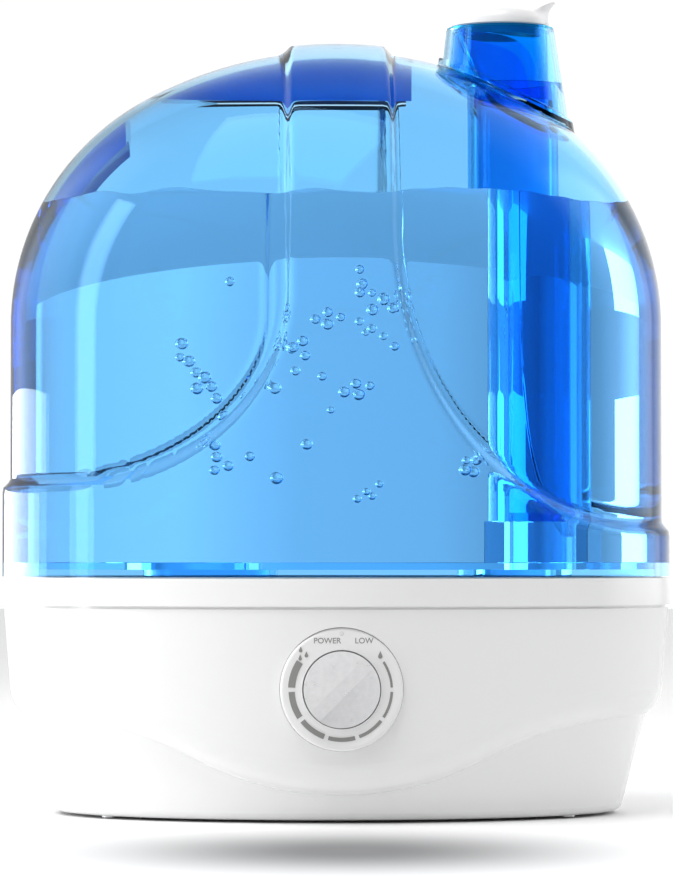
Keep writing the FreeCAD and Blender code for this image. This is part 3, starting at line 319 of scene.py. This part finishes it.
tank = {
    "proud": 2.8, "wall": 2.5,                        # bell panel over the lobes, wall
    "shoulder": 92.0, "crown": 143.0,                 # radii of the dome's two arcs
    "strip": 18.0, "step": 4.6,                       # half width of the strip, width of the soft step
    "left": {"reach": 90.0, "foot": 117.0, "top": 182.0},
    "right": {"reach": 105.0, "foot": 102.0, "top": 203.0},
    "columns": 400, "rows": 150,
    "roughColumns": 200, "roughRows": 70,             # for hidden faces and for tools
    "domeFoot": 150.0,                                # height where pieces that line the dome begin
}
shellLow, shellHigh = [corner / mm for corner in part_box("tank_shell")]
lobeHalf = shellHigh[0] - tank["proud"]
lobeTop = shellHigh[2] - tank["proud"]
narrowing = shellHigh[0] - (shellHigh[1] - shellLow[1]) / 2
tankFoot = shellLow[2]


# radius and height of the dome's skin, for a share of the way from its foot to its peak
def domeProfile(inset, low, rows):
    half = lobeHalf - inset
    shoulder = tank["shoulder"] - inset
    crown = tank["crown"] - inset
    crownZ = lobeTop - inset - crown
    rise = math.sqrt((crown - shoulder) ** 2 - (half - shoulder) ** 2)
    lean = math.atan2(rise, half - shoulder)
    straight = crownZ + rise - low
    lengths = [straight, lean * shoulder, (math.pi / 2 - lean) * crown]
    points = []
    for row in range(rows + 1):
        along = sum(lengths) * row / rows
        if along <= straight:
            points.append((half, low + along))
        elif along <= straight + lengths[1]:
            turn = (along - straight) / shoulder
            points.append((half - shoulder + shoulder * math.cos(turn),
                           crownZ + rise + shoulder * math.sin(turn)))
        else:
            turn = lean + (along - straight - lengths[1]) / crown
            points.append((max(crown * math.cos(turn), 0.02), crownZ + crown * math.sin(turn)))
    return points


# 1 on the bell panel and the skirt, 0 on the side lobes, eased across the step between them
def bellMask(x, z):
    side = tank["left"] if x < 0 else tank["right"]
    wide = side["reach"] - tank["strip"]
    tall = side["top"] - side["foot"]
    across = max((side["reach"] - abs(x)) / wide, 0.0)
    down = max((side["top"] - z) / tall, 0.0)
    past = (math.hypot(across, down) - 1) * (wide + tall) / 2
    share = min(max(past / tank["step"] + 0.5, 0.0), 1.0)
    return share * share * (3 - 2 * share)


# closed solid under the dome; columns stand closer together at the front and the back
def domeSolid(name, inset, low, rows, columns, proud=0.0):
    half = lobeHalf - inset
    squash = (half - narrowing) / half
    inner = domeProfile(inset, low, rows)
    outer = domeProfile(inset - proud, low, rows)
    grown = half + proud
    squashOut = (grown - narrowing) / grown
    rings = []
    for (radius, height), (radiusOut, heightOut) in zip(inner, outer):
        ring = []
        for column in range(columns):
            even = 2 * math.pi * column / columns
            turn = even + 0.2 * math.sin(2 * even)
            flat = Vector((radius * math.cos(turn), radius * squash * math.sin(turn), height))
            full = Vector((radiusOut * math.cos(turn), radiusOut * squashOut * math.sin(turn), heightOut))
            mask = bellMask(flat.x, flat.z) if proud else 0.0
            ring.append(flat.lerp(full, mask) * mm)
        rings.append(ring)
    return ringSolid(name, rings)


def roughDome(name, inset, low=tank["domeFoot"]):
    return domeSolid(name, inset, low, tank["roughRows"], tank["roughColumns"])


# hand pocket and its deeper blue lining; its floor climbs towards the back
pocket = {
    "left": -72.0, "right": 26.5, "front": -18.0, "grip": 26.0, "depth": 19.7, "gripDepth": 7.7,
    "climb": 0.11, "lining": 2.2, "gap": 0.3,
    "strapEnd": -118.0, "strapHalf": 18.0, "strapThick": 6.0, "strapReach": 55.7,
}
far = 300.0      # past every face of the part, for tools


# wedge above the pocket's floor, drawn in by a margin
def pocketTool(name, margin):
    front = pocket["front"] + margin
    floor = lobeTop - pocket["depth"] + margin
    corners = [(y, floor + (y - pocket["front"]) * pocket["climb"]) for y in (front, far)]
    corners += [(far, far + 60), (front, far)]
    rings = [[Vector((x, y, z)) * mm for y, z in corners]
             for x in (pocket["left"] + margin, pocket["right"] - margin)]
    return ringSolid(name, rings)


# clear wall of the tank: bell panel, lobes, hand pocket at the back and the hole for the mist nozzle
def tankWall():
    wall = tank["wall"]
    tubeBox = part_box("mist_tube")
    tubeX = (tubeBox[0][0] + tubeBox[1][0]) / 2 / mm
    tubeRadius = (tubeBox[1][0] - tubeBox[0][0]) / 2 / mm
    outside = domeSolid("tankWall", 0.0, tankFoot, tank["rows"], tank["columns"], tank["proud"])
    inside = roughDome("inside", wall, tankFoot - 5)
    floor = lobeTop - pocket["depth"]
    reach = blockPiece("reach", (pocket["left"], pocket["front"], floor),
                       (pocket["right"], pocket["grip"], far))
    cover = carve(copyOf(outside, "cover"), "DIFFERENCE", copyOf(inside, "insideAgain"))
    carve(cover, "INTERSECT", reach)
    carve(outside, "DIFFERENCE", inside, pocketTool("pocketTool", 0.0))
    carve(outside, "UNION", cover)
    hole = tubeRadius + pocket["gap"]
    mouth = lathe("mouth", [(hole, tank["domeFoot"] + 30), (hole, far)], (tubeX, 0))
    carve(outside, "DIFFERENCE", mouth)
    tidyMesh(outside, 32)
    paint(outside, lightBlue)
    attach(outside, "tank")
    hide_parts("tank_shell")
    return outside


# lining of the pocket: floor, walls and the grip over it; and the strap down the left inside
def handLining():
    inset = tank["wall"] + pocket["gap"]
    wide = pocket["lining"]
    gripUnder = lobeTop - pocket["gripDepth"]
    lining = roughDome("handLining", inset)
    carve(lining, "INTERSECT", pocketTool("within", pocket["gap"]))
    fingers = pocketTool("fingers", pocket["gap"] + wide)
    carve(fingers, "INTERSECT", blockPiece("under", (-far, -far, 0), (far, far, gripUnder)))
    carve(lining, "DIFFERENCE", fingers,
          blockPiece("over", (-far, pocket["grip"], gripUnder), (far, far, far)))
    strap = roughDome("handStrap", inset)
    carve(strap, "DIFFERENCE", roughDome("strapInside", inset + pocket["strapThick"], tank["domeFoot"] - 10))
    half = pocket["strapHalf"]
    foot = lobeTop - pocket["strapReach"]
    carve(strap, "INTERSECT",
          blockPiece("strapReach", (pocket["strapEnd"], -half, foot), (pocket["left"] - inset, half, far)))
    for thing in (lining, strap):
        tidyMesh(thing, 32)
        paint(thing, deepBlue)
        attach(thing, "tank")
    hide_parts("carry_handle")


tankWall()
handLining()
print("tank wall and lining ready")


# funnel under the mist cap: leaning sleeve on the dome, a flange on top and a throat into the tube

funnel = {
    "footX": 57.2, "footRadius": 19.3, "footZ": 244.0, "mouthRadius": 16.9, "wall": 1.5, "flange": 0.8,
    "throatRadius": 12.9, "throatTop": 262.0,
}


def leaningSolid(name, ends, segments=96):
    rings = [[Vector((x + radius * math.cos(2 * math.pi * step / segments),
                      radius * math.sin(2 * math.pi * step / segments), z)) * mm for step in range(segments)]
             for x, radius, z in ends]
    return ringSolid(name, rings)


def nozzleFunnel():
    low, high = [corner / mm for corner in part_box("nozzle_funnel")]
    rim = (high[1] - low[1]) / 2
    x = high[0] - rim
    top = high[2] - funnel["flange"]
    tubeLow, tubeHigh = [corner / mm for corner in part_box("mist_tube")]
    tubeX = (tubeLow[0] + tubeHigh[0]) / 2
    throat, throatTop = funnel["throatRadius"], funnel["throatTop"]
    wall = funnel["wall"]
    mouth = funnel["mouthRadius"]
    foot = (funnel["footX"], funnel["footRadius"], funnel["footZ"])
    outer = leaningSolid("nozzleFunnel", [foot, (x, mouth, top - 1.2), (x, mouth, top)])
    inner = leaningSolid("funnelInside", [(foot[0], foot[1] - wall, foot[2] - 1), (x, mouth - wall, top + 5)])
    carve(outer, "DIFFERENCE", inner, roughDome("domeTool", -0.6))
    horn = leaningSolid("horn", [(tubeX, throat, low[2]), (tubeX, throat, throatTop),
                                 (x, mouth - 0.4, top - 0.4)])
    bore = throat - wall
    carve(horn, "DIFFERENCE", leaningSolid("hornInside", [(tubeX, bore, low[2] - 1), (tubeX, bore, throatTop),
                                                          (x, mouth - wall, top + 1)]))
    flange = leaningSolid("flange", [(x, rim, top), (x, rim, top + funnel["flange"])])
    carve(flange, "DIFFERENCE",
          leaningSolid("flangeBore", [(x, mouth - wall, top - 1), (x, mouth - wall, top + 2)]))
    carve(outer, "UNION", horn, flange)
    tidyMesh(outer, 32)
    paint(outer, funnelBlue)
    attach(outer, "nozzle")
    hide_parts("nozzle_funnel")


nozzleFunnel()
print("funnel ready")


# water in the tank with its waves and bubbles

waterSettings = {
    "level": 217.0, "overlap": 0.2, "foot": 89.5, "seatHalf": 17.0,
    # turns per mm along x and y, height, start
    "waves": [(0.06, 0.02, 1.0, 0.4), (0.12, -0.10, 0.7, 1.9), (-0.2, 0.14, 0.45, 4.0),
              (0.37, 0.22, 0.2, 2.2)],
    "waveStep": 3.0, "waveCount": (84, 60), "waveFoot": 40.0,
    "bubbles": 55, "bubbleSizes": (1.3, 2.3), "bubbleDepths": (-42, 10), "bubbleSpacing": 5.0, "seed": 11,
    "cloud": [(-52, 18, 116, 205), (-46, 48, 105, 150)],   # x from, x to, z from, z to
}


def waveHeight(x, y):
    height = waterSettings["level"]
    for alongX, alongY, tall, start in waterSettings["waves"]:
        height += tall * math.sin(alongX * x + alongY * y + start)
    return height


# closed block whose top is the water's face
def waveBlock():
    step = waterSettings["waveStep"]
    countX, countY = waterSettings["waveCount"]
    verts = []
    for row in range(countY + 1):
        for column in range(countX + 1):
            x = (column - countX / 2) * step
            y = (row - countY / 2) * step
            verts.append(Vector((x, y, waveHeight(x, y))) * mm)
    wide = countX + 1
    corners = (0, 1, wide + 1, wide)
    faces = [tuple(row * wide + column + corner for corner in corners)
             for row in range(countY) for column in range(countX)]
    rim = list(range(wide))
    rim += [row * wide + countX for row in range(1, countY + 1)]
    rim += [countY * wide + column for column in range(countX - 1, -1, -1)]
    rim += [row * wide for row in range(countY - 1, 0, -1)]
    first = len(verts)
    verts += [Vector((verts[index].x, verts[index].y, waterSettings["waveFoot"] * mm)) for index in rim]
    for number, index in enumerate(rim):
        following = (number + 1) % len(rim)
        faces.append((index, rim[following], first + following, first + number))
    faces.append(tuple(range(first, first + len(rim))))
    return newPiece("waveTool", verts, faces)


def tankWater():
    overlap = waterSettings["overlap"]
    tubeLow, tubeHigh = [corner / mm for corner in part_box("mist_tube")]
    tubeX = (tubeLow[0] + tubeHigh[0]) / 2
    tubeRadius = (tubeHigh[0] - tubeLow[0]) / 2
    seatTop = tubeLow[2]
    seatHalf = waterSettings["seatHalf"] - overlap
    foot = waterSettings["foot"] - overlap
    body = domeSolid("tankWater", tank["wall"] - overlap, foot, 90, 240)
    carve(body, "INTERSECT", waveBlock())
    inTube = tubeRadius - overlap
    post = lathe("post", [(inTube, seatTop - 3), (inTube, far)], (tubeX, 0))
    seat = blockPiece("seat", (tubeX - seatHalf, -seatHalf, 60),
                      (tubeX + seatHalf, seatHalf, seatTop - overlap))
    carve(body, "DIFFERENCE", post, seat)
    tidyMesh(body, 40)
    paint(body, water)
    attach(body, "tank")


# clustered air bubbles, faced inwards since the water is round them
def waterBubbles():
    work = bmesh.new()
    rng = random.Random(waterSettings["seed"])
    placed = []
    while len(placed) < waterSettings["bubbles"]:
        # every third bubble comes from the lower cloud, and three in five sit beside the one before
        left, right, low, high = waterSettings["cloud"][len(placed) % 3 // 2]
        near, back = waterSettings["bubbleDepths"]
        radius = rng.uniform(*waterSettings["bubbleSizes"])
        spot = Vector((rng.uniform(left, right), rng.uniform(near, back), rng.uniform(low, high)))
        if len(placed) % 5 > 1:
            aside = Vector((rng.uniform(-1, 1), 0.3, rng.uniform(-1, 1))).normalized()
            spot = placed[-1][0] + aside * waterSettings["bubbleSpacing"]
        if any((spot - other).length < radius + size + 0.3 for other, size in placed):
            continue
        placed.append((spot, radius))
        ball = bmesh.ops.create_icosphere(work, subdivisions=3, radius=radius * mm,
                                          matrix=Matrix.Translation(spot * mm))
        faces = {face for vert in ball["verts"] for face in vert.link_faces}
        bmesh.ops.reverse_faces(work, faces=list(faces))
    mesh = bpy.data.meshes.new("waterBubbles")
    work.to_mesh(mesh)
    work.free()
    mesh.shade_smooth()
    thing = bpy.data.objects.new("waterBubbles", mesh)
    bpy.context.scene.collection.objects.link(thing)
    paint(thing, bubbleClear)
    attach(thing, "tank")


tankWater()
waterBubbles()
print("water ready")


# mist cap: turned disc whose rim is drawn up and out into a beak on one side

cap = {
    "round": 4.6, "squash": 0.95, "edge": 0.4,
    "beakRise": 2.9, "beakReach": 2.2, "beakSpan": (0.72, 0.97), "beakBack": 5.0,
    "crown": 0.3, "crownRings": (0.62, 0.45, 0.3, 0.15, 0.0),
    "plug": 13.9, "plugDepth": 3.2, "plugWall": 1.6, "roof": 2.2, "slot": (3.2, 8.2), "slotHalf": 8.5,
    "rimSteps": 14, "outerSteps": 9, "segments": 160,
}


def mistCap():
    low, high = [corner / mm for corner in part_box("mist_cap")]
    radius = (high[1] - low[1]) / 2
    x = low[0] + radius
    bottom = low[2] + cap["plugDepth"]
    top = high[2] - cap["beakRise"]
    steps, outer = cap["rimSteps"], cap["outerSteps"]
    edge, rise, reach = cap["edge"], cap["beakRise"], cap["beakReach"]
    plug, plugInside = cap["plug"], cap["plug"] - cap["plugWall"]
    roof = top - cap["roof"]
    under = [(0.0, roof), (plugInside, roof), (plugInside, low[2]), (plug, low[2]), (plug, bottom),
             (radius - edge, bottom), (radius, bottom + edge)]
    near, full = cap["beakSpan"]
    segments = cap["segments"]
    columns = []
    for column in range(segments):
        turn = 2 * math.pi * column / segments
        share = min(max((math.cos(turn) - near) / (full - near), 0.0), 1.0)
        share = share * share * (3 - 2 * share)
        line = list(under)
        for step in range(1, steps + 1):
            bend = math.pi / 2 * step / steps
            plain = Vector((radius - cap["round"] * (1 - math.cos(bend)),
                            top - cap["round"] * cap["squash"] * (1 - math.sin(bend))))
            if step <= outer:
                up = step / outer
                tip = Vector((radius + reach * up ** 3 - edge * math.sin(math.pi * up),
                              bottom + edge + (top + rise - bottom - edge) * up))
            else:
                down = (step - outer) / (steps - outer)
                tip = Vector((radius + reach - (reach + cap["beakBack"]) * down ** 0.9,
                              top + rise * (1 - down) ** 2))
            line.append(tuple(plain.lerp(tip, share)))
        line += [(radius * inward, top + cap["crown"] * (1 - inward)) for inward in cap["crownRings"]]
        columns.append([Vector((x + r * math.cos(turn), r * math.sin(turn), z)) * mm for r, z in line])
    rings = [[columns[column][row] for column in range(segments)] for row in range(len(columns[0]))]
    thing = ringSolid("mistCap", rings)
    slotNear, slotFar = cap["slot"]
    half = cap["slotHalf"]
    carve(thing, "DIFFERENCE",
          blockPiece("slotTool", (x + slotNear, -half, bottom), (x + slotFar, half, far)))
    tidyMesh(thing, 35)
    paint(thing, capWhite)
    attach(thing, "mist_cap")
    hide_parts("mist_cap")


mistCap()
print("mist cap ready")


# small printed words on the dial's ring

labels = {
    "words": [("POWER", -4.9, 15.7), ("LOW", 7.6, 15.7)],      # word, x, height over the dial's middle
    "tall": 2.15, "fontShare": 1.25, "thick": 0.06, "bolder": 0.03,
}


def dialLabels():
    ringLow, ringHigh = [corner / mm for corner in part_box("dial_ring")]
    dialZ = (ringLow[2] + ringHigh[2]) / 2
    for word, x, above in labels["words"]:
        curve = bpy.data.curves.new(word.lower() + "Label", "FONT")
        curve.body = word
        curve.size = labels["tall"] * labels["fontShare"] * mm
        curve.align_x = "CENTER"
        curve.extrude = labels["thick"] * mm
        curve.offset = labels["bolder"] * mm
        sketch = bpy.data.objects.new("labelSketch", curve)
        bpy.context.scene.collection.objects.link(sketch)
        bpy.context.view_layer.update()
        graph = bpy.context.evaluated_depsgraph_get()
        mesh = bpy.data.meshes.new_from_object(sketch.evaluated_get(graph))
        bpy.data.objects.remove(sketch)
        place = Vector((x, ringLow[1], dialZ + above)) * mm
        mesh.transform(Matrix.Translation(place) @ Matrix.Rotation(math.pi / 2, 4, "X"))
        thing = bpy.data.objects.new(word.lower() + "Label", mesh)
        bpy.context.scene.collection.objects.link(thing)
        paint(thing, greyPrint)
        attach(thing, "base")


dialLabels()
print("dial ready")


# studio

studio = {
    # (place from left to right, brightness) before and behind the piece
    "frontLight": [(0.0, 0.84), (0.3, 0.8), (0.5, 0.68), (0.72, 0.40), (1.0, 0.10)],
    "backLight": [(0.0, 1.8), (0.17, 1.8), (0.24, 0.8), (0.37, 0.55), (0.455, 1.02), (0.53, 1.08), (0.6, 1.5),
                  (0.7, 1.4), (0.84, 1.0), (0.87, 2.4), (1.0, 2.4)],
    "brightest": 4, "topShare": 0.55,
    # painted shadow: a soft shadow patch painted on the floor just in front of the piece, darkest in its
    # middle
    "paintedShadow": {"middle": (0.0, -0.203, 0.0), "reach": (0.113, 0.137, 1.0), "dark": (0.2, 0.2, 0.2)},
    "floorReach": 6.0, "aim": (0, 0, 0.13),
    "lamps": [
        {"name": "stripLeft", "place": (-1.9, -0.35, 0.62), "size": (0.34, 1.8), "watts": 14},
        {"name": "topSoft", "place": (-0.3, -0.6, 1.7), "size": (1.2, 1.0), "watts": 16},
        {"name": "panelLeft", "place": (-1.0, 0.8, 0.02), "size": (1.2, 0.36), "watts": 7.5},
    ],
}


# white surround: behind the piece it is brightest to the sides, in front it darkens to the right
def surround():
    world = bpy.data.worlds.new("surround")
    bpy.context.scene.world = world
    world.use_nodes = True
    sky = Finish(world.node_tree, "Background")
    place = sky.node("ShaderNodeTexCoord", output="Generated")
    split = sky.node("ShaderNodeSeparateXYZ", {}, [place])
    along = split * 0.5 + 0.5
    depth = sky.node("ShaderNodeSeparateXYZ", {}, [place], output=1)
    sides = []
    for key in ("frontLight", "backLight"):
        stops = [(where, (value / studio["brightest"],) * 3 + (1,)) for where, value in studio[key]]
        sides.append(sky.node("ShaderNodeValToRGB", {"stops": stops}, [along]))
    height = sky.node("ShaderNodeSeparateXYZ", {}, [place], output=2)
    sky.set(Color=sky.mix(sky.ease(depth, -0.15, 0.15), *sides))
    sky.set(Strength=sky.ease(height, 0.6, 0.9, 1.0, studio["topShare"]) * studio["brightest"])


def floorAndLamps():
    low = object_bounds()[0][2]
    reach = studio["floorReach"]
    corners = [(-reach, -reach, low), (reach, -reach, low), (reach, reach, low), (-reach, reach, low)]
    floor = newPiece("studioFloor", corners, [(0, 1, 2, 3)])
    finish = newFinish("paleFloor")
    # the floor's colour carries a painted shadow: pale grain, darkened towards the middle of a soft patch in
    # front of the piece
    shadowSpot = studio["paintedShadow"]
    place = finish.node("ShaderNodeTexCoord", output="Object")
    spread = finish.node("ShaderNodeVectorMath", {"operation": "SUBTRACT"}, [place, shadowSpot["middle"]])
    spread = finish.node("ShaderNodeVectorMath", {"operation": "DIVIDE"}, [spread, shadowSpot["reach"]])
    away = finish.node("ShaderNodeVectorMath", {"operation": "LENGTH"}, [spread], output=1)
    grain = finish.mix(finish.noise(3, 2), (0.93, 0.93, 0.93), (0.95, 0.95, 0.95))
    finish.set(Base_Color=finish.mix(finish.ease(away, 0.08, 1.0), shadowSpot["dark"], grain), Roughness=0.6)
    paint(floor, finish)
    for settings in studio["lamps"]:
        lamp = bpy.data.lights.new(settings["name"], "AREA")
        lamp.shape = "RECTANGLE"
        lamp.size, lamp.size_y = settings["size"]
        lamp.energy = settings["watts"]
        thing = bpy.data.objects.new(settings["name"], lamp)
        thing.location = settings["place"]
        aim = Vector(studio["aim"]) - thing.location
        thing.rotation_euler = aim.to_track_quat("-Z", "Y").to_euler()
        bpy.context.scene.collection.objects.link(thing)


# front view from a little left of the middle, through a long lens
def camera():
    view = {"place": (-0.033, -1.55, 0.0917), "target": (0.0, 0.0, 0.1335), "lens": 177.0}
    lens = bpy.data.cameras.new("frontCamera")
    lens.lens = view["lens"]
    lens.clip_start = 0.05
    thing = bpy.data.objects.new("frontCamera", lens)
    thing.location = view["place"]
    aim = Vector(view["target"]) - thing.location
    thing.rotation_euler = aim.to_track_quat("-Z", "Y").to_euler()
    bpy.context.scene.collection.objects.link(thing)
    bpy.context.scene.camera = thing


surround()
floorAndLamps()
camera()
scene = bpy.context.scene
scene.view_settings.view_transform = "Standard"
scene.cycles.max_bounces = 32
scene.cycles.transmission_bounces = 28
scene.cycles.transparent_max_bounces = 24
print("studio ready")
